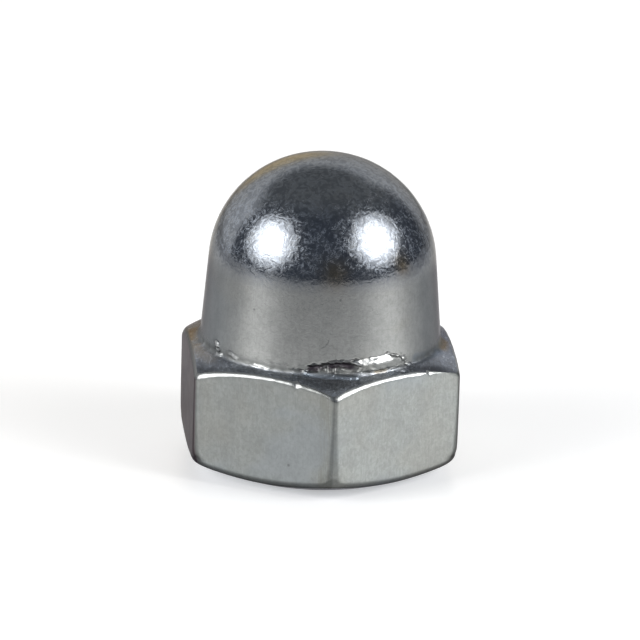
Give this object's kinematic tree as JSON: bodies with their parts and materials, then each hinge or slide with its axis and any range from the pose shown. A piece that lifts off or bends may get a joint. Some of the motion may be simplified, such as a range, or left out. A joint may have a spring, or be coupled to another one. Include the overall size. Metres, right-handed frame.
{
  "type": "cap nut",
  "caption": "Domed cap nut: a chamfered hexagon under a tall rounded dome, with a blind threaded bore that covers the end of a screw.",
  "frame": {"origin": "centre of the bearing face, on the thread's axis", "axes": "+Z along the thread's axis from the bearing face to the top of the dome; a corner of the hexagon points along -Y"},
  "size_m": [0.01, 0.0114, 0.0119],
  "materials": {
    "zinc_plate": "bright zinc plate with a fine grain, worn bright along the edges"
  },
  "bodies": {
    "root": {"cap_nut": "zinc_plate"}
  },
  "joints": []
}
